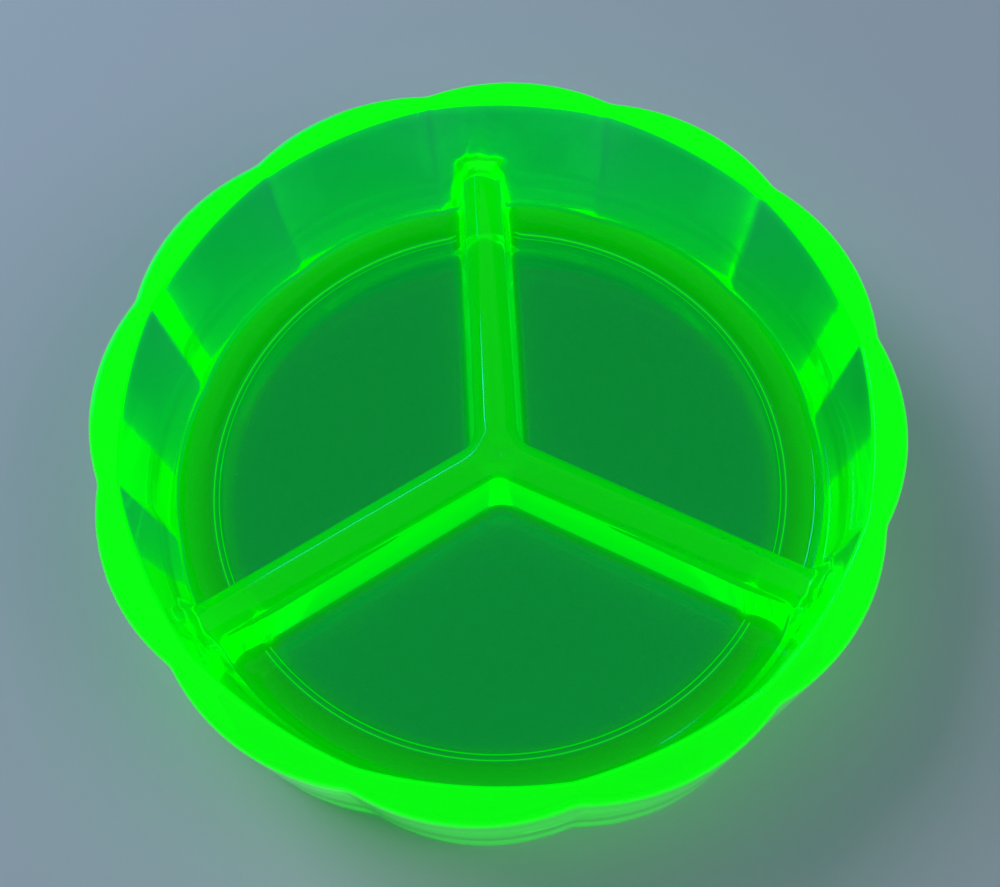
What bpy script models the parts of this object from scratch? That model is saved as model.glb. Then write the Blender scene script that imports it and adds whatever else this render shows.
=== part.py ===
"""Three-compartment relish dish in pressed uranium glass.

The real dish is one pressing. It is modelled here as the regions a glass maker would name:
the floor with its foot, the twelve-lobed side wall, three dividers and the hub where they meet.
Metres, +Z up. The origin is on the resting plane, under the hub. +Y runs along the back divider.
"""

import math

import bmesh
import bpy
from mathutils import Matrix, Vector

# Whole dish
RIM_LOBE_R = 0.0840          # outer radius at the rim, at the middle of a lobe
RIM_NOTCH_R = 0.0816         # outer radius at the rim, in the groove between two lobes
HEIGHT = 0.0420              # resting plane to rim
LOBES = 12
LOBE_PHASE = math.radians(8.0)   # angle of the first groove, from +X
JOIN_GAP = 0.0003            # space left where two regions of the pressing meet

# Outer side of the wall at the resting plane
BASE_LOBE_R = 0.0807
BASE_NOTCH_R = 0.0784

# Floor and foot
FLOOR_Z = 0.0073             # upper face of the floor
RECESS_DEPTH = 0.0012        # how far the floor's underside stands above the foot
RECESS_R = 0.0600            # the recess reaches its full depth here, on a shallow slope
FOOT_INNER_R = 0.0648
FOOT_EDGE = 0.0016           # rounding of the foot's outer edge

# Inner side of the wall
FLOOR_FLAT_R = 0.0680        # where the floor starts to curve up
CORNER_FILLET = 0.0042       # fillet between floor and wall
INNER_PANEL_R = 0.0765       # inner radius at the rim, at the middle of a panel
INNER_CORNER_R = 0.0772      # inner radius at the rim, in line with a groove
TOE_THICKNESS = 0.0004       # least thickness of the fillet's thin edge

# Rim rounding
RIM_OUTER_ROUND = 0.0022
RIM_INNER_ROUND = 0.0014

# Dividers
DIVIDER_ANGLES = {
    "divider_back": math.radians(90),
    "divider_left": math.radians(210),
    "divider_right": math.radians(330),
}
WEB_HALF_BASE = 0.0063       # half width at the floor
WEB_HALF_TOP = 0.0043        # half width that the drafted sides would reach at the crest
WEB_CROWN_RISE = 0.0032      # height of the rounded top over the edges of the sides
WEB_CROWN_RUN = 0.0037       # width of the rounding on each side of the crest
WEB_TOP_HUB = 0.0224         # height of the crest at the hub
WEB_TOP_WALL = 0.0248        # height of the crest where the flare starts
WEB_FLARE_RISE = 0.0050      # how far the end climbs up the wall
WEB_FLARE_START = 0.84       # share of the divider's length before the flare
HUB_REACH = 0.0105           # hub centre to the plane where a divider starts
HUB_FILLET = 0.0035          # rounding of the compartment corners at the hub

# Mesh density
STEPS_PER_LOBE = 8
ARC_STEPS = 4
RIM_STEPS = 3
FLARE_STEPS = 5
CROWN_STEPS = 4
FILLET_LINE = 0.3            # extra line on a divider's side, as a share of the fillet's height
WEB_MIDDLE = 0.45            # extra section of a divider, as a share of its length
SHARP_ANGLE = math.radians(35)   # edges sharper than this stay crisp when shaded

GLASS_COLOUR = (0.10, 0.85, 0.12, 1.0)
GLASS_ROUGHNESS = 0.05
GLASS_IOR = 1.52

LOBE_ANGLE = 2 * math.pi / LOBES
CORNER_TURN = math.pi / len(DIVIDER_ANGLES)   # from a divider to the middle of a compartment
HUB_ARC = math.pi / 2 - CORNER_TURN           # half the turn of a compartment's rounded corner


def clear_scene():
    for obj in list(bpy.data.objects):
        bpy.data.objects.remove(obj, do_unlink=True)


def blend(low, high, share):
    return low + (high - low) * share


def scallop_radius(angle, lobe_r, notch_r):
    """Radius of an outline of equal arcs that meet in LOBES grooves."""
    half_chord = notch_r * math.sin(LOBE_ANGLE / 2)
    rise = lobe_r - notch_r * math.cos(LOBE_ANGLE / 2)
    arc_r = (half_chord ** 2 + rise ** 2) / (2 * rise)
    centre = lobe_r - arc_r
    off_middle = (angle - LOBE_PHASE) % LOBE_ANGLE - LOBE_ANGLE / 2
    across = centre * math.sin(off_middle)
    return centre * math.cos(off_middle) + math.sqrt(arc_r ** 2 - across ** 2)


def scallop_loop(z, lobe_r, notch_r):
    """One closed loop of the lobed outline at height z."""
    count = LOBES * STEPS_PER_LOBE
    points = []
    for index in range(count):
        angle = LOBE_PHASE + 2 * math.pi * index / count
        radius = scallop_radius(angle, lobe_r, notch_r)
        points.append(Vector((radius * math.cos(angle), radius * math.sin(angle), z)))
    return points


def outer_radii(z):
    """Outer lobe and groove radii of the drafted wall at height z."""
    share = z / HEIGHT
    return blend(BASE_LOBE_R, RIM_LOBE_R, share), blend(BASE_NOTCH_R, RIM_NOTCH_R, share)


def wall_draft():
    """Lean of the inner wall from vertical, from the fillet's top to the rim."""
    run = INNER_PANEL_R - FLOOR_FLAT_R - CORNER_FILLET
    return math.atan2(run, HEIGHT - FLOOR_Z - CORNER_FILLET)


def inner_radii(z, clearance=0.0):
    """Inner panel and corner radii at height z, moved inwards by clearance."""
    draft = wall_draft()
    fillet_top = FLOOR_Z + CORNER_FILLET * (1 - math.sin(draft))
    fillet_top_r = FLOOR_FLAT_R + CORNER_FILLET * math.cos(draft)
    if z < fillet_top:
        arc_r = CORNER_FILLET - clearance
        drop = min(FLOOR_Z + CORNER_FILLET - z, arc_r)
        radius = FLOOR_FLAT_R + math.sqrt(arc_r ** 2 - drop ** 2)
        return radius, radius
    share = (z - fillet_top) / (HEIGHT - fillet_top)
    inset = clearance / math.cos(draft)
    panel = blend(fillet_top_r, INNER_PANEL_R, share) - inset
    corner = blend(fillet_top_r, INNER_CORNER_R, share) - inset
    return panel, corner


def glass_material(name):
    material = bpy.data.materials.new(name)
    material.use_nodes = True
    shader = material.node_tree.nodes["Principled BSDF"]
    shader.inputs["Base Color"].default_value = GLASS_COLOUR
    shader.inputs["Roughness"].default_value = GLASS_ROUGHNESS
    shader.inputs["IOR"].default_value = GLASS_IOR
    shader.inputs["Metallic"].default_value = 0.0
    return material


def finish_object(name, mesh_builder):
    """Turn a filled bmesh into a smooth-shaded object with its own glass material."""
    bmesh.ops.recalc_face_normals(mesh_builder, faces=mesh_builder.faces)
    mesh = bpy.data.meshes.new(name)
    mesh_builder.to_mesh(mesh)
    mesh_builder.free()
    mesh.shade_smooth()
    mesh.set_sharp_from_angle(angle=SHARP_ANGLE)
    mesh.materials.append(glass_material(name + "_glass"))
    obj = bpy.data.objects.new(name, mesh)
    bpy.context.scene.collection.objects.link(obj)
    return obj


def add_loops(builder, loops):
    """Add each loop's vertices and bridge every loop to the next one."""
    rings = [[builder.verts.new(point) for point in loop] for loop in loops]
    for lower, upper in zip(rings, rings[1:]):
        bridge(builder, lower, upper)
    return rings


def bridge(builder, lower, upper):
    count = len(lower)
    for index in range(count):
        following = (index + 1) % count
        builder.faces.new((lower[index], lower[following], upper[following], upper[index]))


def cap(builder, ring, z):
    """Close a loop with a fan to a point on the dish's axis."""
    centre = builder.verts.new((0.0, 0.0, z))
    for first, second in zip(ring, ring[1:] + ring[:1]):
        builder.faces.new((first, second, centre))


def make_floor():
    """Flat floor plate with its foot: a flat ring around a shallow recess."""
    builder = bmesh.new()
    loops = [scallop_loop(RECESS_DEPTH, RECESS_R, RECESS_R)]
    loops.append(scallop_loop(0.0, FOOT_INNER_R, FOOT_INNER_R))
    for step in range(ARC_STEPS + 1):
        turn = math.pi / 2 * step / ARC_STEPS
        z = FOOT_EDGE * (1 - math.cos(turn))
        inset = FOOT_EDGE * (1 - math.sin(turn))
        lobe_r, notch_r = outer_radii(z)
        loops.append(scallop_loop(z, lobe_r - inset, notch_r - inset))
    loops.append(scallop_loop(FLOOR_Z, *outer_radii(FLOOR_Z)))
    loops.append(scallop_loop(FLOOR_Z, FLOOR_FLAT_R, FLOOR_FLAT_R))
    rings = add_loops(builder, loops)
    cap(builder, rings[0], RECESS_DEPTH)
    cap(builder, rings[-1], FLOOR_Z)
    return finish_object("floor_and_foot", builder)


def make_wall():
    """Twelve-lobed side wall with a rounded rim and a fillet at its inner foot."""
    foot_z = FLOOR_Z + JOIN_GAP
    loops = [scallop_loop(foot_z, *outer_radii(foot_z))]
    for step in range(RIM_STEPS + 1):
        turn = math.pi / 2 * step / RIM_STEPS
        z = HEIGHT - RIM_OUTER_ROUND * (1 - math.sin(turn))
        inset = RIM_OUTER_ROUND * (1 - math.cos(turn))
        lobe_r, notch_r = outer_radii(z)
        loops.append(scallop_loop(z, lobe_r - inset, notch_r - inset))
    for step in range(RIM_STEPS + 1):
        turn = math.pi / 2 * step / RIM_STEPS
        z = HEIGHT - RIM_INNER_ROUND * (1 - math.cos(turn))
        outset = RIM_INNER_ROUND * (1 - math.sin(turn))
        panel_r, corner_r = inner_radii(z)
        loops.append(scallop_loop(z, panel_r + outset, corner_r + outset))
    fillet_turn = math.pi / 2 - wall_draft()
    toe_z = foot_z + TOE_THICKNESS
    toe_turn = math.acos(1 - (toe_z - FLOOR_Z) / CORNER_FILLET)
    for step in range(ARC_STEPS + 1):
        turn = blend(fillet_turn, toe_turn, step / ARC_STEPS)
        z = FLOOR_Z + CORNER_FILLET * (1 - math.cos(turn))
        panel_r, corner_r = inner_radii(z)
        loops.append(scallop_loop(z, panel_r, corner_r))
    toe_r = inner_radii(toe_z)[0]
    loops.append(scallop_loop(foot_z, toe_r, toe_r))
    builder = bmesh.new()
    rings = add_loops(builder, loops)
    bridge(builder, rings[-1], rings[0])
    return finish_object("side_wall", builder)


def web_side(top_z):
    """Heights and half widths up one side of a divider, floor to crest."""
    bottom_z = FLOOR_Z + JOIN_GAP
    side = []
    line_z = FLOOR_Z + FILLET_LINE * CORNER_FILLET
    for z in (bottom_z, line_z, FLOOR_Z + CORNER_FILLET, top_z - WEB_CROWN_RISE):
        share = (z - FLOOR_Z) / (top_z - FLOOR_Z)
        side.append((z, blend(WEB_HALF_BASE, WEB_HALF_TOP, share)))
    edge_half = side[-1][1]
    for step in range(1, CROWN_STEPS + 1):
        turn = math.pi / 2 * step / CROWN_STEPS
        z = top_z - WEB_CROWN_RISE * (1 - math.sin(turn))
        side.append((z, edge_half - WEB_CROWN_RUN * (1 - math.cos(turn))))
    return side


def web_top(share):
    """Height of a divider's crest at a share of its length."""
    level = blend(WEB_TOP_HUB, WEB_TOP_WALL, share)
    flare = max(0.0, (share - WEB_FLARE_START) / (1 - WEB_FLARE_START))
    return level + WEB_FLARE_RISE * (1 - math.sqrt(1 - flare ** 2))


def web_end(across, z, angle):
    """Distance along a divider at which it meets the wall, less the gap."""
    panel_r, corner_r = inner_radii(z, JOIN_GAP)
    radius = scallop_radius(angle, panel_r, corner_r)
    return math.sqrt(radius ** 2 - across ** 2)


def make_divider(name, angle):
    """Drafted web from the hub to the wall, with a rounded top and a flared end."""
    shares = [0.0, WEB_MIDDLE, WEB_FLARE_START]
    for step in range(1, FLARE_STEPS + 1):
        turn = math.pi / 2 * step / FLARE_STEPS
        shares.append(blend(WEB_FLARE_START, 1.0, math.sin(turn)))
    loops = []
    for share in shares:
        side = web_side(web_top(share))
        section = [(half, z) for z, half in side]
        section += [(-half, z) for z, half in reversed(side)]
        loop = []
        for across, z in section:
            bearing = angle + math.atan2(across, FLOOR_FLAT_R)
            along = blend(HUB_REACH, web_end(across, z, bearing), share)
            loop.append(Vector((along, across, z)))
        loops.append(loop)
    builder = bmesh.new()
    rings = add_loops(builder, loops)
    builder.faces.new(rings[0])
    builder.faces.new(rings[-1])
    bmesh.ops.triangulate(builder, faces=[face for face in builder.faces if len(face.verts) > 4])
    bmesh.ops.rotate(builder, verts=builder.verts, matrix=Matrix.Rotation(angle, 3, "Z"))
    return finish_object(name, builder)


def hub_loop(z, half, corner_r):
    """Plan outline of the hub: three flat ends joined by rounded inner corners."""
    reach = HUB_REACH - JOIN_GAP
    centre_distance = (half + corner_r) / math.sin(CORNER_TURN)
    points = []
    for arm in DIVIDER_ANGLES.values():
        along = Vector((math.cos(arm), math.sin(arm), 0.0))
        across = Vector((-along.y, along.x, 0.0))
        lift = Vector((0.0, 0.0, z))
        points.append(along * reach - across * half + lift)
        points.append(along * reach + across * half + lift)
        corner = arm + CORNER_TURN
        corner_centre = Vector((math.cos(corner), math.sin(corner), 0.0)) * centre_distance
        for step in range(ARC_STEPS + 1):
            turn = corner + math.pi + blend(HUB_ARC, -HUB_ARC, step / ARC_STEPS)
            offset = Vector((math.cos(turn), math.sin(turn), 0.0)) * corner_r
            points.append(corner_centre + offset + lift)
    return points


def make_hub():
    """Three-armed post where the dividers meet."""
    side = web_side(WEB_TOP_HUB)
    edge_half = side[-CROWN_STEPS - 1][1]
    loops = []
    for z, half in side:
        corner_r = HUB_FILLET + max(0.0, edge_half - half)
        loops.append(hub_loop(z, half, corner_r))
    builder = bmesh.new()
    rings = add_loops(builder, loops)
    cap(builder, rings[0], side[0][0])
    cap(builder, rings[-1], WEB_TOP_HUB)
    return finish_object("divider_hub", builder)


def main():
    clear_scene()
    make_floor()
    make_wall()
    for name, angle in DIVIDER_ANGLES.items():
        make_divider(name, angle)
    make_hub()


main()
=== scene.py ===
"""Looks of a three-compartment relish dish pressed in uranium glass."""

import math

import bpy
import numpy as np
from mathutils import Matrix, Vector


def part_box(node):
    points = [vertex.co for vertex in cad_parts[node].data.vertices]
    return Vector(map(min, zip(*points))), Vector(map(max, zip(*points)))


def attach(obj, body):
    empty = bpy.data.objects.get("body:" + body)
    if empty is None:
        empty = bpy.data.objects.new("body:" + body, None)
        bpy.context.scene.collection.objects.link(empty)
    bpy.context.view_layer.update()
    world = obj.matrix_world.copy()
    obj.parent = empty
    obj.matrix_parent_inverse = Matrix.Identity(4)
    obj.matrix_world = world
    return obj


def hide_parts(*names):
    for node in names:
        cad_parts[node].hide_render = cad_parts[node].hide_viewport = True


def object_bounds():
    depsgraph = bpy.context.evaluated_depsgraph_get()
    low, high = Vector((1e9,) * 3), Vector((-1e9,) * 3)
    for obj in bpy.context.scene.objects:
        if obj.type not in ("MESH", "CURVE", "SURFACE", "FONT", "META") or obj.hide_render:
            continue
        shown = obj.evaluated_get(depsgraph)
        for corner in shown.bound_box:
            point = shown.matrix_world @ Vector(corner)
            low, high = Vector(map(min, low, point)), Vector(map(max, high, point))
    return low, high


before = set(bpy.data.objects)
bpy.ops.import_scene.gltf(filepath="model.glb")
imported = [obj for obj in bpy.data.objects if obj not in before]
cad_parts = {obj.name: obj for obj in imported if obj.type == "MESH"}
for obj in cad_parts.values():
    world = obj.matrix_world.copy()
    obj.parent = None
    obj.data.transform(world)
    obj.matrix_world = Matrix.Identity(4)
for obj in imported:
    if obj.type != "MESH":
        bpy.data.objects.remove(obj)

bl_info = {
    "name": "Uranium Glass Relish Dish",
    "version": (1, 0, 0),
    "blender": (4, 5, 0),
    "location": "View3D > Sidebar > Glass Dish",
    "description": "Presses a divided uranium-glass dish and sets it on a studio floor",
    "category": "Add Mesh",
}

CAD_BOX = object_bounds()
RIM_HEIGHT = CAD_BOX[1][2]
FLOOR_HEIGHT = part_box("floor_and_foot")[1][2]
HUB_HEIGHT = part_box("divider_hub")[1][2]

LOBES = 12
LOBE_TURN = 2 * math.pi / LOBES
ARMS = 3
ARM_ANGLES = [math.radians(90), math.radians(210), math.radians(330)]
HALF_ARM_TURN = math.pi / ARMS

# Columns of faces round the dish and round each compartment
RIM_COLUMNS = 720
CELL_RIM_COLUMNS = RIM_COLUMNS // ARMS
CORNER_COLUMNS = 28
SIDE_COLUMNS = 44
HUB_COLUMNS = 16
WELD = 2e-6
SIDE_ROWS = 15       # rows up a divider's side
CREST_ROWS = 16      # rows from the side's top edge to the crest
CLIMB_ROWS = 30      # points up a divider's end
ROW_GAP = 0.0004     # least distance of the side rows from the floor and from the crest
FLOOR_INSET = 0.0160      # first floor row, inwards from the wall
FOOT_INSETS = [0.0055, 0.0042, 0.0030, 0.0020, 0.0011, 0.0004]    # last floor rows, likewise
ARM_FIRST_INSET = 0.0080  # first floor row, outwards from a divider
ARM_INSETS = (0.0040, 0.0002)    # second and last floor row, likewise
RING_ROWS = 13       # rows over the ring line
RING_REACH = 2.4     # how far they reach on each side of it, in half widths
CORNER_SHARE = 0.3   # least rounding of a floor row's corners, as a share of the side fillet
TOP_ROW = 1.50       # height over the crest, in divider end rises, where the plain wall starts
CLIMB_LIMIT = 0.92   # share of the quarter turn at which a divider's climb is cut short
END_START = 0.86     # where a divider starts to change into its rounded end, as a share of its length

GLASS_IOR = 1.52

STAGE_SIZE = 6.0
STAGE_DROP = 0.0003      # gap between the foot and the studio floor
STAGE_COLOUR = (0.72, 0.75, 0.78, 1.0)
STAGE_ROUGHNESS = 0.6
SKY_COLOUR = (0.50, 0.70, 1.0, 1.0)
SKY_STRENGTH = 0.15
PALE_LIGHT = (0.85, 0.92, 1.0)
BLUE_LIGHT = (0.05, 0.50, 1.0)
LAMP_AIM = Vector((0.0, 0.0, 0.02))

# Name, place, size, power, colour and whether the glass mirrors the lamp
LAMPS = (
    ("key_light", (-0.55, 0.35, 0.75), (0.5, 0.5), 2.7, PALE_LIGHT, False),
    ("fill_light", (0.75, -0.35, 0.8), (0.7, 0.7), 1.9, PALE_LIGHT, False),
    ("blue_strip", (-0.60, 0.72, 0.34), (0.90, 0.05), 1.6, BLUE_LIGHT, True),
)

CAMERA_AIM = (0.0009, -0.00845)
CAMERA_DISTANCE = 0.2815
CAMERA_ELEVATION = math.radians(65.04)
CAMERA_AZIMUTH = math.radians(0.61)
CAMERA_ROLL = math.radians(-3.92)
CAMERA_LENS = 50.4
CAMERA_SENSOR = 36.0


class DishSizes(bpy.types.PropertyGroup):
    """Sizes of the pressing, in metres."""

    rim_lobe: bpy.props.FloatProperty(
        name="Rim lobe radius", description="Outer radius at the rim, middle of a lobe",
        default=0.0839, unit="LENGTH", precision=4)
    rim_groove: bpy.props.FloatProperty(
        name="Rim groove radius", description="Outer radius at the rim, between two lobes",
        default=0.0816, unit="LENGTH", precision=4)
    base_lobe: bpy.props.FloatProperty(
        name="Base lobe radius", description="Outer radius at the foot, middle of a lobe",
        default=0.0807, unit="LENGTH", precision=4)
    base_groove: bpy.props.FloatProperty(
        name="Base groove radius", description="Outer radius at the foot, between two lobes",
        default=0.0784, unit="LENGTH", precision=4)
    groove_phase: bpy.props.FloatProperty(
        name="Groove phase", description="Angle of the first groove from +X",
        default=math.radians(8.0), subtype="ANGLE")
    groove_soften: bpy.props.FloatProperty(
        name="Groove softening", description="Half angle over which a groove is rounded",
        default=math.radians(0.9), subtype="ANGLE")
    panel: bpy.props.FloatProperty(
        name="Inner panel radius", description="Inner radius at the rim, middle of a panel",
        default=0.0765, unit="LENGTH", precision=4)
    corner: bpy.props.FloatProperty(
        name="Inner corner radius", description="Inner radius at the rim, in line with a groove",
        default=0.0772, unit="LENGTH", precision=4)
    floor_flat: bpy.props.FloatProperty(
        name="Flat floor radius", description="Radius where the floor starts to curve up",
        default=0.0680, unit="LENGTH", precision=4)
    wall_fillet: bpy.props.FloatProperty(
        name="Wall fillet", description="Fillet between floor and wall",
        default=0.0042, unit="LENGTH", precision=4)
    arm_fillet: bpy.props.FloatProperty(
        name="Divider foot fillet", description="Fillet between floor and dividers",
        default=0.0018, unit="LENGTH", precision=4)
    flare_run: bpy.props.FloatProperty(
        name="Divider end length", description="Length over which a divider's top climbs the wall",
        default=0.0042, unit="LENGTH", precision=4)
    flare_rise: bpy.props.FloatProperty(
        name="Divider end rise", description="Height that a divider's top would reach by climbing on",
        default=0.0078, unit="LENGTH", precision=4)
    end_fillet: bpy.props.FloatProperty(
        name="Divider arch fillet", description="Fillet between a divider's arched end and the wall",
        default=0.0013, unit="LENGTH", precision=4)
    side_fillet: bpy.props.FloatProperty(
        name="Divider side fillet", description="Fillet in plan between a divider's side and the wall",
        default=0.0042, unit="LENGTH", precision=4)
    end_edge: bpy.props.FloatProperty(
        name="Divider end rounding", description="Rounding of a divider's top edges at its arched end",
        default=0.0014, unit="LENGTH", precision=4)
    hub_fillet: bpy.props.FloatProperty(
        name="Hub fillet", description="Rounding of the compartment corners at the hub",
        default=0.0022, unit="LENGTH", precision=4)
    arm_base: bpy.props.FloatProperty(
        name="Divider base half width", description="Half width of a divider at the floor",
        default=0.0063, unit="LENGTH", precision=4)
    arm_top: bpy.props.FloatProperty(
        name="Divider top half width", description="Half width that the drafted sides reach at the crest",
        default=0.0043, unit="LENGTH", precision=4)
    arm_edge: bpy.props.FloatProperty(
        name="Divider edge", description="Rounding of a divider's top edges",
        default=0.0007, unit="LENGTH", precision=4)
    crown: bpy.props.FloatProperty(
        name="Divider crown", description="How far a divider's rounded top falls from middle to edge",
        default=0.0032, unit="LENGTH", precision=4)
    end_crown: bpy.props.FloatProperty(
        name="Divider end crown", description="The same fall at the arched end on the wall",
        default=0.0052, unit="LENGTH", precision=4)
    arm_climb: bpy.props.FloatProperty(
        name="Divider climb", description="How much higher a divider is at the wall than at the hub",
        default=0.0026, unit="LENGTH", precision=4)
    rim_outer_round: bpy.props.FloatProperty(
        name="Rim outer round", description="Rounding of the rim's outer edge",
        default=0.0022, unit="LENGTH", precision=4)
    rim_inner_round: bpy.props.FloatProperty(
        name="Rim inner round", description="Rounding of the rim's inner edge",
        default=0.0014, unit="LENGTH", precision=4)
    foot_round: bpy.props.FloatProperty(
        name="Foot round", description="Rounding of the foot's outer edge",
        default=0.0016, unit="LENGTH", precision=4)
    ring: bpy.props.FloatProperty(
        name="Ring line radius", description="Radius of the fine line pressed round the floor",
        default=0.0639, unit="LENGTH", precision=4)
    ring_width: bpy.props.FloatProperty(
        name="Ring line width", description="Half width of the ring line",
        default=0.0006, unit="LENGTH", precision=4)
    # Half width of the painted bright lines on the ring line's edges.
    ring_highlight_edge: bpy.props.FloatProperty(
        name="Ring line edge", description="Half width of the bright edges of the ring line",
        default=0.00022, unit="LENGTH", precision=5)
    ring_depth: bpy.props.FloatProperty(
        name="Ring line depth", description="Depth of the ring line",
        default=0.0004, unit="LENGTH", precision=4)
    foot_inner: bpy.props.FloatProperty(
        name="Foot inner radius", description="Inner radius of the flat foot",
        default=0.0648, unit="LENGTH", precision=4)
    recess: bpy.props.FloatProperty(
        name="Recess radius", description="Radius of the flat underside inside the foot",
        default=0.0600, unit="LENGTH", precision=4)
    recess_depth: bpy.props.FloatProperty(
        name="Recess depth", description="Height of the underside above the foot",
        default=0.0012, unit="LENGTH", precision=4)


class DishGlassAndPaintedGlow(bpy.types.PropertyGroup):
    """Colours of the glass and the painted glow laid in and on it."""

    tint: bpy.props.FloatVectorProperty(
        name="Glass tint", description="Colour that the glass surface passes",
        subtype="COLOR", size=3, min=0.0, max=1.0, default=(0.20, 0.62, 0.48))
    absorb_colour: bpy.props.FloatVectorProperty(
        name="Body colour", description="Colour left after a long way through the glass",
        subtype="COLOR", size=3, min=0.0, max=1.0, default=(0.0, 0.968, 0.64))
    absorb_density: bpy.props.FloatProperty(
        name="Body density", description="Strength of the body colour, per metre",
        default=330.0, min=0.0)
    # The glow below is painted light: emission standing in for the glass's real fluorescence, which needs
    # UV light that no lamp here gives.
    glow_colour: bpy.props.FloatVectorProperty(
        name="Glow colour", description="Colour of the fluorescence",
        subtype="COLOR", size=3, min=0.0, max=1.0, default=(0.0, 1.0, 0.0))
    deep_glow: bpy.props.FloatProperty(
        name="Deep glow", description="Light given off inside the glass, per metre of its depth",
        default=25.0, min=0.0)
    glow: bpy.props.FloatProperty(
        name="Surface glow", description="Strength of the glow laid on the surface at the rim",
        default=0.60, min=0.0)
    speck_scale: bpy.props.FloatProperty(
        name="Speck spacing", description="How close the small specks lie, per metre",
        default=160.0, min=1.0)
    speck_size: bpy.props.FloatProperty(
        name="Speck size", description="Size of a speck as a share of the spacing",
        default=0.045, min=0.0)
    speck_glow: bpy.props.FloatProperty(
        name="Speck glow", description="Share of the glow that a speck adds",
        default=0.25, min=0.0, max=1.0, subtype="FACTOR")
    ripple_scale: bpy.props.FloatProperty(
        name="Ripple spacing", description="How close the ripples of the pressing lie, per metre",
        default=70.0, min=1.0)
    ripple: bpy.props.FloatProperty(
        name="Ripple", description="Strength of the pressing's ripples",
        default=0.12, min=0.0, max=1.0, subtype="FACTOR")
    ripple_depth: bpy.props.FloatProperty(
        name="Ripple depth", description="Depth of the pressing's ripples",
        default=0.0003, unit="LENGTH", precision=4)
    # Painted light: a faint blue glow on the thin flat floor, standing in for bluish light seen through
    # it.
    painted_floor_blue: bpy.props.FloatVectorProperty(
        name="Painted floor blue", description="Fainter, bluer glow of the thin flat floor",
        subtype="COLOR", size=3, min=0.0, max=1.0, default=(0.0, 0.0, 0.028))
    painted_floor_blue_limit: bpy.props.FloatProperty(
        name="Painted floor blue limit", description="Share of the glow at which the bluer glow has gone",
        default=0.003, min=0.0, max=1.0, subtype="FACTOR")
    # Painted light: these shares lay more glow where light is trapped along the glass, at the rim,
    # fillet, foot, outside and dividers, and less on the panels.
    glow_rim: bpy.props.FloatProperty(
        name="Rim glow", description="Share of the glow on the rim",
        default=0.20, min=0.0, max=1.0, subtype="FACTOR")
    # Painted highlight: bright lines laid on the two edges of the ring line.
    painted_ring_highlight: bpy.props.FloatProperty(
        name="Ring line glow", description="Share of the glow on the two edges of the ring line",
        default=0.85, min=0.0, max=1.0, subtype="FACTOR")
    glow_panel: bpy.props.FloatProperty(
        name="Panel glow", description="Share of the glow on the wall's inner panels",
        default=0.004, min=0.0, max=1.0, subtype="FACTOR")
    glow_outside: bpy.props.FloatProperty(
        name="Outside glow", description="Share of the glow on the wall's outer side",
        default=0.08, min=0.0, max=1.0, subtype="FACTOR")
    glow_foot: bpy.props.FloatProperty(
        name="Foot glow", description="Share of the glow under the foot and on the edge of its recess",
        default=0.08, min=0.0, max=1.0, subtype="FACTOR")
    glow_fillet: bpy.props.FloatProperty(
        name="Fillet glow", description="Share of the glow round the foot of the wall",
        default=0.05, min=0.0, max=1.0, subtype="FACTOR")
    glow_arm: bpy.props.FloatProperty(
        name="Divider glow", description="Share of the glow on the dividers' tops",
        default=0.06, min=0.0, max=1.0, subtype="FACTOR")
    glow_side: bpy.props.FloatProperty(
        name="Divider side glow", description="Share of the glow low on the dividers' sides",
        default=0.06, min=0.0, max=1.0, subtype="FACTOR")


def blend(low, high, share):
    return low + (high - low) * share


def soft_step(value, start, end):
    """0 at start and 1 at end, with an easy rise between them."""
    share = np.clip((value - start) / (end - start), 0.0, 1.0)
    return share * share * (3 - 2 * share)


def lobed(angle, middle, groove, sizes):
    """Radius of an outline of equal arcs that meet in softened grooves."""
    half_chord = groove * math.sin(LOBE_TURN / 2)
    rise = middle - groove * math.cos(LOBE_TURN / 2)
    arc = (half_chord ** 2 + rise ** 2) / (2 * rise)
    centre = middle - arc
    from_groove = np.abs((angle - sizes.groove_phase + LOBE_TURN / 2) % LOBE_TURN - LOBE_TURN / 2)

    def arc_radius(turn):
        across = centre * np.sin(turn)
        return centre * np.cos(turn) + np.sqrt(arc ** 2 - across ** 2)

    soft = sizes.groove_soften
    start = LOBE_TURN / 2 - soft
    step = 1e-4
    slope = (arc_radius(start - step) - arc_radius(start + step)) / (2 * step)
    rounded = arc_radius(start) + slope * (from_groove ** 2 - soft ** 2) / (2 * soft)
    return np.where(from_groove < soft, rounded, arc_radius(LOBE_TURN / 2 - from_groove))


def wall_lean(sizes):
    """Lean of the inner wall from vertical."""
    run = sizes.panel - sizes.floor_flat - sizes.wall_fillet
    return math.atan2(run, RIM_HEIGHT - FLOOR_HEIGHT - sizes.wall_fillet)


def inner_radius(angle, z, sizes):
    """Radius of the inner wall's straight part, carried on down to the floor."""
    lean = wall_lean(sizes)
    foot_z = FLOOR_HEIGHT + sizes.wall_fillet * (1 - math.sin(lean))
    foot_r = sizes.floor_flat + sizes.wall_fillet * math.cos(lean)
    share = (z - foot_z) / (RIM_HEIGHT - foot_z)
    panel = lobed(angle, sizes.panel, sizes.corner, sizes)
    return foot_r + (panel - foot_r) * share


def wall_radius(z, sizes):
    """Radius of the inner wall at height z, in the middle of a panel."""
    return sizes.panel - (RIM_HEIGHT - z) * math.tan(wall_lean(sizes))


def outer_radius(angle, z, sizes):
    share = z / RIM_HEIGHT
    rim = lobed(angle, sizes.rim_lobe, sizes.rim_groove, sizes)
    base = lobed(angle, sizes.base_lobe, sizes.base_groove, sizes)
    return base + (rim - base) * share


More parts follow.
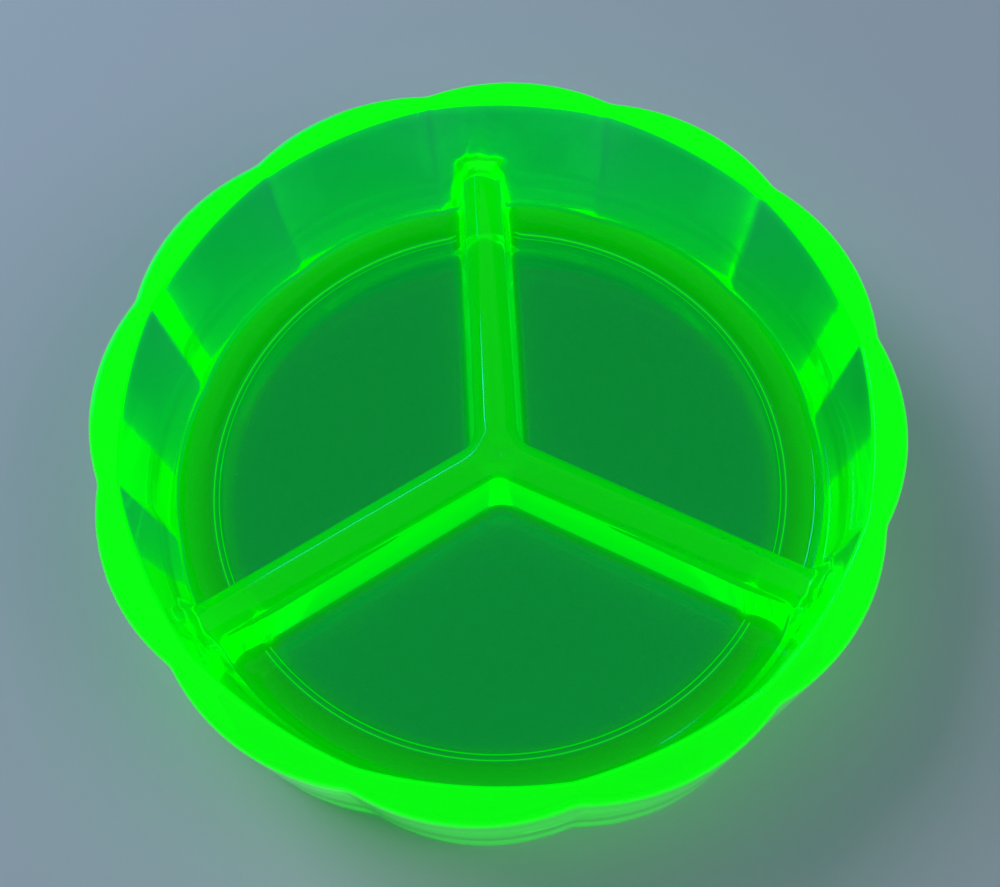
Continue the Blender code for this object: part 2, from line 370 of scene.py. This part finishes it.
def round_join(first, second, radius):
    """Signed distance to two joined solids with a fillet between them."""
    reach = np.hypot(np.maximum(radius - first, 0), np.maximum(radius - second, 0))
    return np.maximum(radius, np.minimum(first, second)) - reach


def round_cut(first, second, radius):
    """Signed distance to what two solids share, with a rounded edge."""
    reach = np.hypot(np.maximum(radius + first, 0), np.maximum(radius + second, 0))
    return np.minimum(-radius, np.maximum(first, second)) + reach


def arm_height(radius, sizes):
    return HUB_HEIGHT + sizes.arm_climb * radius / sizes.floor_flat


def plunger_distance(points, sizes):
    """Signed distance from the inner surface that the plunger leaves: negative in the glass."""
    x, y, z = points.T
    radius = np.hypot(x, y)
    wall = (inner_radius(np.arctan2(y, x), z, sizes) - radius) * math.cos(wall_lean(sizes))
    rise = HUB_HEIGHT - FLOOR_HEIGHT
    draft = math.atan2(sizes.arm_base - sizes.arm_top, rise)
    half = sizes.arm_base - (z - FLOOR_HEIGHT) * math.tan(draft)
    sides = None
    for angle in ARM_ANGLES:
        along = x * math.cos(angle) + y * math.sin(angle)
        across = np.abs(y * math.cos(angle) - x * math.sin(angle))
        side = np.maximum((across - half) * math.cos(draft), -along)
        sides = side if sides is None else round_join(sides, side, sizes.hub_fillet)
    crest_z = arm_height(radius, sizes)
    climb = np.clip(1 - wall / sizes.flare_run, 0.0, CLIMB_LIMIT)
    level = np.sqrt(1 - climb ** 2)
    steep = sizes.flare_rise / sizes.flare_run * climb / level
    from_middle = np.clip(1 + sides / half, 0.0, 1.0)
    fall = blend(sizes.crown, sizes.end_crown, climb) * from_middle ** 2
    top = (z - crest_z - sizes.flare_rise * (1 - level) + fall) / np.hypot(1.0, steep)
    arms = round_cut(sides, top, blend(sizes.arm_edge, sizes.end_edge, climb))
    above = soft_step(z, crest_z - sizes.end_edge, crest_z + sizes.end_edge)
    walled = round_join(arms, wall, blend(sizes.side_fillet, sizes.end_fillet, above))
    near_wall = soft_step(radius, END_START * sizes.floor_flat, sizes.floor_flat)
    fillet = blend(sizes.arm_fillet, sizes.wall_fillet, near_wall)
    groove = sizes.ring_depth * np.exp(-((radius - sizes.ring) / sizes.ring_width) ** 2)
    return round_join(walled, z - FLOOR_HEIGHT + groove, fillet)


def settle(points, sizes, rounds=14):
    """Move rough points square onto the plunger's surface."""
    step = 1e-5
    for _ in range(rounds):
        gap = plunger_distance(points, sizes)
        slope = np.empty_like(points)
        for axis in range(3):
            ahead = points.copy()
            ahead[:, axis] += step
            behind = points.copy()
            behind[:, axis] -= step
            slope[:, axis] = plunger_distance(ahead, sizes) - plunger_distance(behind, sizes)
        slope /= 2 * step
        square = np.maximum((slope ** 2).sum(axis=1), 0.2)
        points = points - slope * (gap / square)[:, None]
    return points


def spread(count):
    """Shares 0 to 1 in count steps, without the last."""
    return np.arange(count) / count


def cell_outline(offset, reach, hub_round, wall_round, z):
    """Plan outline of a compartment that opens along +X, as an array of points.

    It runs along the wall, round one corner, in along a divider, round the hub and back.
    """
    wall_columns = CELL_RIM_COLUMNS - CORNER_COLUMNS
    side_way = np.array([math.cos(HALF_ARM_TURN), math.sin(HALF_ARM_TURN)])
    inward = np.array([math.sin(HALF_ARM_TURN), -math.cos(HALF_ARM_TURN)])
    out = math.sqrt((reach - wall_round) ** 2 - (offset + wall_round) ** 2)
    corner = side_way * out + inward * (offset + wall_round)
    corner_angle = math.atan2(corner[1], corner[0])
    tangent = math.atan2(-inward[1], -inward[0])
    hub = np.array([(offset + hub_round) / math.sin(HALF_ARM_TURN), 0.0])

    wall_turn = blend(-corner_angle, corner_angle, spread(wall_columns))
    wall = np.stack([np.cos(wall_turn), np.sin(wall_turn)], axis=1) * reach
    corner_turn = blend(corner_angle, tangent, spread(CORNER_COLUMNS))
    round_corner = corner + np.stack([np.cos(corner_turn), np.sin(corner_turn)], axis=1) * wall_round
    hub_tangent = hub - inward * hub_round
    side_start = corner - inward * wall_round
    side = side_start + (hub_tangent - side_start) * spread(SIDE_COLUMNS)[:, None]
    hub_turn = blend(tangent, 2 * math.pi - tangent, spread(HUB_COLUMNS))
    round_hub = hub + np.stack([np.cos(hub_turn), np.sin(hub_turn)], axis=1) * hub_round
    mirror = np.array([1.0, -1.0])
    last = hub + np.array([math.cos(-tangent), math.sin(-tangent)]) * hub_round
    back_side = np.vstack([last[None], side[:0:-1] * mirror])
    back_corner = np.vstack([side_start[None] * mirror, round_corner[:0:-1] * mirror])
    plan = np.vstack([wall, round_corner, side, round_hub, back_side, back_corner])
    return np.column_stack([plan, np.full(len(plan), z)])


def cell_border(top_z, sizes):
    """Border of a compartment's share of the inner surface: the wall at top_z and two divider crests."""
    half_corner = CORNER_COLUMNS // 2
    rim_turn = np.arange(-CELL_RIM_COLUMNS // 2, CELL_RIM_COLUMNS // 2 + 1) * (2 * math.pi / RIM_COLUMNS)
    wall_r = wall_radius(top_z, sizes)
    rim = np.column_stack([np.cos(rim_turn) * wall_r, np.sin(rim_turn) * wall_r,
                           np.full(len(rim_turn), top_z)])
    climb = np.linspace(CLIMB_LIMIT, 0.0, CLIMB_ROWS)
    climb_z = arm_height(sizes.floor_flat, sizes) + sizes.flare_rise * (1 - np.sqrt(1 - climb ** 2))
    climb_r = wall_radius(climb_z, sizes) - sizes.flare_run * (1 - climb)
    path_r = np.concatenate([[wall_r], climb_r])
    path_z = np.concatenate([[top_z], climb_z])
    ways = np.concatenate([[0.0], np.cumsum(np.hypot(np.diff(path_r), np.diff(path_z)))])
    stops = ways[-1] * np.arange(1, half_corner + 1) / half_corner
    crest_r = np.interp(stops, ways, path_r)
    crest_h = np.interp(stops, ways, path_z)
    in_r = blend(crest_r[-1], 0.0, np.arange(1, SIDE_COLUMNS + HUB_COLUMNS // 2 + 1)
                 / (SIDE_COLUMNS + HUB_COLUMNS // 2))
    crest_r = np.concatenate([crest_r, in_r])
    crest_h = np.concatenate([crest_h, arm_height(in_r, sizes)])
    crest = np.column_stack([crest_r * math.cos(HALF_ARM_TURN), crest_r * math.sin(HALF_ARM_TURN),
                             crest_h])
    mirror = np.array([1.0, -1.0, 1.0])
    ring = np.vstack([rim, crest, (crest[:-1] * mirror)[::-1]])
    return np.roll(ring, -half_corner, axis=0)


def cell_rows(top_z, sizes):
    """Rough rows of points over one compartment, from its floor to its border."""
    rows = []
    reach = sizes.floor_flat + sizes.wall_fillet
    ring_inset = reach - sizes.ring
    ring_shares = np.linspace(RING_REACH, -RING_REACH, RING_ROWS)
    near_ring = [ring_inset + share * sizes.ring_width for share in ring_shares]
    wall_insets = [FLOOR_INSET] + near_ring + FOOT_INSETS
    arm_insets = [ARM_FIRST_INSET] + list(np.linspace(*ARM_INSETS, len(wall_insets) - 1))
    for arm_inset, wall_inset in zip(arm_insets, wall_insets):
        inward = min(1.0, wall_inset / ring_inset)
        corner = blend(sizes.side_fillet, CORNER_SHARE * sizes.side_fillet, inward)
        rows.append(cell_outline(sizes.arm_base + arm_inset, reach - wall_inset,
                                 sizes.hub_fillet, corner, FLOOR_HEIGHT))
    crest_z = HUB_HEIGHT + sizes.arm_climb / 2 - sizes.crown
    for step in range(SIDE_ROWS + 1):
        share = step / SIDE_ROWS
        z = blend(FLOOR_HEIGHT + ROW_GAP, crest_z - ROW_GAP, share)
        reach = wall_radius(z, sizes)
        rows.append(cell_outline(blend(sizes.arm_base, sizes.arm_top, share), reach,
                                 sizes.hub_fillet, sizes.side_fillet, z))
    border = cell_border(top_z, sizes)
    edge = rows[-1]
    for step in range(1, CREST_ROWS + 1):
        rows.append(blend(edge, border, step / CREST_ROWS))
    return rows


def meet_wall(border, top_z, sizes):
    """Put the border points that lie at the wall's height exactly on the wall's first row."""
    wall = np.hypot(border[:, 0], border[:, 1]) > sizes.floor_flat
    high = wall & (border[:, 2] > top_z - sizes.rim_inner_round)
    step = 2 * math.pi / RIM_COLUMNS
    turn = np.round(np.arctan2(border[high, 1], border[high, 0]) / step) * step
    radius = inner_radius(turn, top_z, sizes)
    border[high] = np.column_stack([np.cos(turn) * radius, np.sin(turn) * radius,
                                    np.full(len(turn), top_z)])


def turned(points, angle):
    turn = np.array([[math.cos(angle), math.sin(angle), 0.0],
                     [-math.sin(angle), math.cos(angle), 0.0],
                     [0.0, 0.0, 1.0]])
    return points @ turn


def ring_row(radii, z):
    """One row round the whole dish; radii is a number or an array of RIM_COLUMNS numbers."""
    turn = np.arange(RIM_COLUMNS) * (2 * math.pi / RIM_COLUMNS)
    radii = np.broadcast_to(radii, turn.shape)
    return np.column_stack([np.cos(turn) * radii, np.sin(turn) * radii, np.full(len(turn), z)])


def shell_rows(top_z, sizes):
    """Rows from the wall above the dividers, over the rim and down the outside to the recess."""
    turn = np.arange(RIM_COLUMNS) * (2 * math.pi / RIM_COLUMNS)
    rows = []
    inner_edge_z = RIM_HEIGHT - sizes.rim_inner_round
    for share in np.linspace(0.0, 1.0, 7):
        z = blend(top_z, inner_edge_z, share)
        rows.append(ring_row(inner_radius(turn, z, sizes), z))
    for step in range(1, 7):
        way = math.pi / 2 * step / 6
        z = inner_edge_z + sizes.rim_inner_round * math.sin(way)
        out = sizes.rim_inner_round * (1 - math.cos(way))
        rows.append(ring_row(inner_radius(turn, inner_edge_z, sizes) + out, z))
    outer_edge_z = RIM_HEIGHT - sizes.rim_outer_round
    outer_top = outer_radius(turn, outer_edge_z, sizes)
    last_inner = inner_radius(turn, inner_edge_z, sizes) + sizes.rim_inner_round
    for share in (0.33, 0.67):
        rows.append(ring_row(blend(last_inner, outer_top - sizes.rim_outer_round, share), RIM_HEIGHT))
    for step in range(8):
        way = math.pi / 2 * (1 - step / 7)
        z = outer_edge_z + sizes.rim_outer_round * math.sin(way)
        rows.append(ring_row(outer_top - sizes.rim_outer_round * (1 - math.cos(way)), z))
    for share in np.linspace(0.0, 1.0, 12)[1:]:
        z = blend(outer_edge_z, sizes.foot_round, share)
        rows.append(ring_row(outer_radius(turn, z, sizes), z))
    foot = outer_radius(turn, sizes.foot_round, sizes)
    for step in range(1, 7):
        way = math.pi / 2 * step / 6
        z = sizes.foot_round * (1 - math.sin(way))
        rows.append(ring_row(foot - sizes.foot_round * (1 - math.cos(way)), z))
    for share in (0.25, 0.5, 0.75, 0.95):
        rows.append(ring_row(blend(foot - sizes.foot_round, sizes.foot_inner, share), 0.0))
    for step in range(9):
        share = step / 8
        ease = share * share * (3 - 2 * share)
        rows.append(ring_row(blend(sizes.foot_inner, sizes.recess, share), sizes.recess_depth * ease))
    for radius in (0.97 * sizes.recess, 0.5 * sizes.recess):
        rows.append(ring_row(radius, sizes.recess_depth))
    return rows


def deselect_all():
    bpy.ops.object.select_all(action="DESELECT")


def wrap_sheet(name, rows):
    """Add a grid sheet and lay its rows along the given closed rows of points."""
    deselect_all()
    columns = len(rows[0])
    bpy.ops.mesh.primitive_grid_add(x_subdivisions=columns, y_subdivisions=len(rows) - 1, size=0.1)
    sheet = bpy.context.object
    sheet.name = name
    closed = np.stack([np.vstack([row, row[:1]]) for row in rows])
    sheet.data.vertices.foreach_set("co", closed.reshape(-1).astype(np.float32))
    sheet.data.update()
    return sheet


def weld_and_close(obj):
    """Merge the seams of joined sheets, fill the flat holes left in them and turn faces outwards."""
    deselect_all()
    obj.select_set(True)
    bpy.context.view_layer.objects.active = obj
    bpy.ops.object.mode_set(mode="EDIT")
    bpy.ops.mesh.select_all(action="SELECT")
    bpy.ops.mesh.remove_doubles(threshold=WELD)
    bpy.ops.mesh.select_all(action="SELECT")
    bpy.ops.mesh.fill_holes(sides=0)
    bpy.ops.mesh.select_all(action="SELECT")
    bpy.ops.mesh.normals_make_consistent(inside=False)
    bpy.ops.object.mode_set(mode="OBJECT")


def glow_shares(points, sizes, finish):
    """Share of the full painted glow at each point: painted light, most where light is trapped along the
    glass.
    """
    x, y, z = points.T
    radius = np.hypot(x, y)
    angle = np.arctan2(y, x)
    low_z = FLOOR_HEIGHT + sizes.arm_fillet
    share = finish.glow_fillet * soft_step(radius, sizes.foot_inner, sizes.floor_flat)
    on_wall = soft_step(radius, sizes.floor_flat, sizes.floor_flat + sizes.wall_fillet)
    climb = soft_step(z, low_z, FLOOR_HEIGHT + 2 * sizes.wall_fillet)
    share = blend(share, finish.glow_panel, climb * on_wall)
    off_wall = 1 - soft_step(radius, sizes.floor_flat, sizes.panel)
    crest = soft_step(z, HUB_HEIGHT - sizes.crown, HUB_HEIGHT)
    side_or_top = blend(finish.glow_side, finish.glow_arm, crest)
    share = blend(share, side_or_top, soft_step(z, FLOOR_HEIGHT, low_z) * off_wall)
    outer = outer_radius(angle, z, sizes)
    outside = soft_step(outer - radius, 2 * sizes.foot_round, 0.3 * sizes.foot_round)
    share = blend(share, finish.glow_outside, outside)
    under = 1 - soft_step(z, 0.5 * sizes.recess_depth, 1.5 * sizes.recess_depth)
    foot = under * soft_step(radius, sizes.recess, sizes.floor_flat)
    share = blend(share, finish.glow_foot, foot)
    rim = soft_step(z, RIM_HEIGHT - 1.6 * sizes.rim_outer_round, RIM_HEIGHT - 0.3 * sizes.rim_inner_round)
    return blend(share, finish.glow_rim, rim)


def paint_glow(dish, sizes, finish):
    """Store the painted glow shares on the dish's points as the attribute that its glass reads."""
    mesh = dish.data
    points = np.empty(len(mesh.vertices) * 3)
    mesh.vertices.foreach_get("co", points)
    layer = mesh.attributes.new("glow", "FLOAT", "POINT")
    layer.data.foreach_set("value", glow_shares(points.reshape(-1, 3), sizes, finish))


def math_node(tree, operation, first, second=None):
    """Math node on two sockets or numbers; gives its output."""
    node = tree.nodes.new("ShaderNodeMath")
    node.operation = operation
    for socket, value in zip(node.inputs, (first, second)):
        if isinstance(value, (int, float)):
            socket.default_value = value
        elif value is not None:
            tree.links.new(value, socket)
    return node.outputs["Value"]


def painted_ring_highlight_mask(tree, place, sizes):
    """Mask of painted bright lines: 1 on the two edges of the ring line in the floor's upper face, 0
    elsewhere.
    """
    split = tree.nodes.new("ShaderNodeSeparateXYZ")
    tree.links.new(place, split.inputs["Vector"])
    x_part = math_node(tree, "MULTIPLY", split.outputs["X"], split.outputs["X"])
    y_part = math_node(tree, "MULTIPLY", split.outputs["Y"], split.outputs["Y"])
    radius = math_node(tree, "SQRT", math_node(tree, "ADD", x_part, y_part))
    off_ring = math_node(tree, "ABSOLUTE", math_node(tree, "SUBTRACT", radius, sizes.ring))
    off_edge = math_node(tree, "ABSOLUTE", math_node(tree, "SUBTRACT", off_ring, sizes.ring_width))
    line = tree.nodes.new("ShaderNodeMapRange")
    line.interpolation_type = "SMOOTHSTEP"
    line.inputs["From Min"].default_value = sizes.ring_highlight_edge
    line.inputs["From Max"].default_value = 0.0
    tree.links.new(off_edge, line.inputs["Value"])
    off_floor = math_node(tree, "ABSOLUTE", math_node(tree, "SUBTRACT", split.outputs["Z"], FLOOR_HEIGHT))
    on_floor = math_node(tree, "LESS_THAN", off_floor, 2 * sizes.ring_depth)
    return math_node(tree, "MULTIPLY", line.outputs["Result"], on_floor)


def glass_material(sizes, finish):
    """Clear pressed glass that colours with its depth and has a painted glow, more with depth and a
    little more where its attribute says.

    The painted glow inside the body stands in for the glass's fluorescence and gives the look, because
    the more glass a line of sight crosses the brighter it is. The weaker painted glow on the surface,
    with painted bright edges on the ring line and faint blue on the thin floor, is there for viewers that
    can't show the body's.
    """
    material = bpy.data.materials.new("uranium_glass")
    material.use_nodes = True
    tree = material.node_tree
    shader = tree.nodes["Principled BSDF"]
    output = tree.nodes["Material Output"]
    # Painted glow on the surface: emission whose share comes from the glow attribute, the specks and the
    # painted ring edges.
    shader.inputs["Emission Strength"].default_value = finish.glow
    share = tree.nodes.new("ShaderNodeAttribute")
    share.attribute_name = "glow"
    colour = tree.nodes.new("ShaderNodeValToRGB")
    stops = colour.color_ramp.elements
    # The ramp paints faint blue light where the glow share is low and green where it is high.
    stops[0].color = (*finish.painted_floor_blue, 1.0)
    stops[1].color = (*finish.glow_colour, 1.0)
    faint = [finish.painted_floor_blue_limit * part for part in finish.glow_colour]
    stops.new(finish.painted_floor_blue_limit).color = (*faint, 1.0)
    place = tree.nodes.new("ShaderNodeTexCoord")
    # Specks: small spots scattered at random that add to the painted glow.
    specks = tree.nodes.new("ShaderNodeTexVoronoi")
    specks.inputs["Scale"].default_value = finish.speck_scale
    tree.links.new(place.outputs["Object"], specks.inputs["Vector"])
    small = tree.nodes.new("ShaderNodeMapRange")
    small.inputs["From Min"].default_value = finish.speck_size
    small.inputs["From Max"].default_value = 0.5 * finish.speck_size
    small.inputs["To Max"].default_value = finish.speck_glow
    tree.links.new(specks.outputs["Distance"], small.inputs["Value"])
    total = tree.nodes.new("ShaderNodeMath")
    total.operation = "ADD"
    total.use_clamp = True
    tree.links.new(share.outputs["Fac"], total.inputs[0])
    tree.links.new(small.outputs["Result"], total.inputs[1])
    # Painted highlight on the two edges of the ring line.
    ring = math_node(tree, "MULTIPLY", painted_ring_highlight_mask(tree, place.outputs["Object"], sizes), finish.painted_ring_highlight)
    tree.links.new(math_node(tree, "MAXIMUM", total.outputs["Value"], ring), colour.inputs["Fac"])
    ripple = tree.nodes.new("ShaderNodeTexNoise")
    ripple.inputs["Scale"].default_value = finish.ripple_scale
    tree.links.new(place.outputs["Object"], ripple.inputs["Vector"])
    bump = tree.nodes.new("ShaderNodeBump")
    bump.inputs["Strength"].default_value = finish.ripple
    bump.inputs["Distance"].default_value = finish.ripple_depth
    tree.links.new(ripple.outputs["Fac"], bump.inputs["Height"])
    tree.links.new(bump.outputs["Normal"], shader.inputs["Normal"])
    tree.links.new(colour.outputs["Color"], shader.inputs["Emission Color"])
    shader.inputs["Base Color"].default_value = (*finish.tint, 1.0)
    shader.inputs["Roughness"].default_value = 0.0
    shader.inputs["IOR"].default_value = GLASS_IOR
    shader.inputs["Transmission Weight"].default_value = 1.0
    absorb = tree.nodes.new("ShaderNodeVolumeAbsorption")
    absorb.inputs["Color"].default_value = (*finish.absorb_colour, 1.0)
    absorb.inputs["Density"].default_value = finish.absorb_density
    # Painted glow in the body: even emission per metre of glass, standing in for the fluorescence.
    deep = tree.nodes.new("ShaderNodeEmission")
    deep.inputs["Color"].default_value = (*finish.glow_colour, 1.0)
    deep.inputs["Strength"].default_value = finish.deep_glow
    body = tree.nodes.new("ShaderNodeAddShader")
    tree.links.new(absorb.outputs["Volume"], body.inputs[0])
    tree.links.new(deep.outputs["Emission"], body.inputs[1])
    tree.links.new(body.outputs["Shader"], output.inputs["Volume"])
    return material


class DISH_OT_press_glass(bpy.types.Operator):
    """Press the dish: floor, foot, lobed wall, dividers and hub as one piece of glass"""

    bl_idname = "dish.press_glass"
    bl_label = "Press the Glass"

    def execute(self, context):
        sizes = context.scene.dish_sizes
        crest_z = arm_height(sizes.floor_flat, sizes)
        top_z = crest_z + TOP_ROW * sizes.flare_rise
        sheets = [wrap_sheet("pressed_dish", shell_rows(top_z, sizes))]
        rough = cell_rows(top_z, sizes)
        for index in range(ARMS):
            angle = ARM_ANGLES[index] + HALF_ARM_TURN
            rows = [turned(row, angle) for row in rough]
            settled = settle(np.vstack(rows), sizes).reshape(len(rows), -1, 3)
            meet_wall(settled[-1], top_z, sizes)
            sheets.append(wrap_sheet("compartment", list(settled)))
        deselect_all()
        for sheet in sheets:
            sheet.select_set(True)
        dish = sheets[0]
        context.view_layer.objects.active = dish
        bpy.ops.object.join()
        weld_and_close(dish)
        deselect_all()
        dish.select_set(True)
        bpy.ops.object.shade_smooth()
        finish = context.scene.dish_finish
        paint_glow(dish, sizes, finish)
        dish.data.materials.append(glass_material(sizes, finish))
        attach(dish, "root")
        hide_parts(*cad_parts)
        return {"FINISHED"}


class DISH_OT_set_stage(bpy.types.Operator):
    """Lay the studio floor, hang the lights and place the camera"""

    bl_idname = "dish.set_stage"
    bl_label = "Set the Stage"

    def execute(self, context):
        scene = context.scene
        deselect_all()
        bpy.ops.mesh.primitive_plane_add(size=STAGE_SIZE, location=(0.0, 0.0, -STAGE_DROP))
        floor = context.object
        floor.name = "studio_floor"
        bpy.ops.object.transform_apply(location=True, rotation=False, scale=False)
        paint = bpy.data.materials.new("pale_floor")
        paint.use_nodes = True
        shader = paint.node_tree.nodes["Principled BSDF"]
        shader.inputs["Base Color"].default_value = STAGE_COLOUR
        shader.inputs["Roughness"].default_value = STAGE_ROUGHNESS
        floor.data.materials.append(paint)

        world = bpy.data.worlds.new("studio")
        world.use_nodes = True
        background = world.node_tree.nodes["Background"]
        background.inputs["Color"].default_value = SKY_COLOUR
        background.inputs["Strength"].default_value = SKY_STRENGTH
        scene.world = world
        for name, place, size, power, colour, mirrored in LAMPS:
            deselect_all()
            bpy.ops.object.light_add(type="AREA", location=place)
            lamp = context.object
            lamp.name = name
            lamp.data.shape = "RECTANGLE"
            lamp.data.size, lamp.data.size_y = size
            lamp.data.energy = power
            lamp.data.color = colour
            lamp.visible_glossy = mirrored
            lamp.visible_transmission = mirrored
            aim = LAMP_AIM - Vector(place)
            lamp.rotation_euler = aim.to_track_quat("-Z", "Y").to_euler()

        add_camera(scene)
        scene.view_settings.view_transform = "Standard"
        return {"FINISHED"}


def add_camera(scene):
    """Camera over the front of the dish, aimed a little in front of the hub at the rim's height."""
    target = Vector((CAMERA_AIM[0], CAMERA_AIM[1], RIM_HEIGHT))
    level = math.cos(CAMERA_ELEVATION)
    back = Vector((math.sin(CAMERA_AZIMUTH) * level, -math.cos(CAMERA_AZIMUTH) * level,
                   math.sin(CAMERA_ELEVATION)))
    bpy.ops.object.camera_add(location=target + back * CAMERA_DISTANCE)
    camera = bpy.context.object
    camera.name = "view_camera"
    look = (-back).to_track_quat("-Z", "Y")
    camera.rotation_euler = look.to_euler()
    camera.rotation_euler.rotate_axis("Z", CAMERA_ROLL)
    camera.data.sensor_width = CAMERA_SENSOR
    camera.data.lens = CAMERA_LENS
    scene.camera = camera


class DISH_PT_panel(bpy.types.Panel):
    """Lists the steps that make the dish"""

    bl_label = "Glass Dish"
    bl_idname = "DISH_PT_panel"
    bl_space_type = "VIEW_3D"
    bl_region_type = "UI"
    bl_category = "Glass Dish"

    def draw(self, context):
        layout = self.layout
        for group in (context.scene.dish_sizes, context.scene.dish_finish):
            box = layout.box()
            for name in group.__annotations__:
                box.prop(group, name)
        layout.operator("dish.press_glass")
        layout.operator("dish.set_stage")


CLASSES = (DishSizes, DishGlassAndPaintedGlow, DISH_OT_press_glass, DISH_OT_set_stage, DISH_PT_panel)


def register():
    for cls in CLASSES:
        bpy.utils.register_class(cls)
    bpy.types.Scene.dish_sizes = bpy.props.PointerProperty(type=DishSizes)
    bpy.types.Scene.dish_finish = bpy.props.PointerProperty(type=DishGlassAndPaintedGlow)


def unregister():
    del bpy.types.Scene.dish_finish
    del bpy.types.Scene.dish_sizes
    for cls in reversed(CLASSES):
        bpy.utils.unregister_class(cls)


def main():
    register()
    bpy.ops.dish.press_glass()
    bpy.ops.dish.set_stage()


if __name__ == "__main__":
    main()
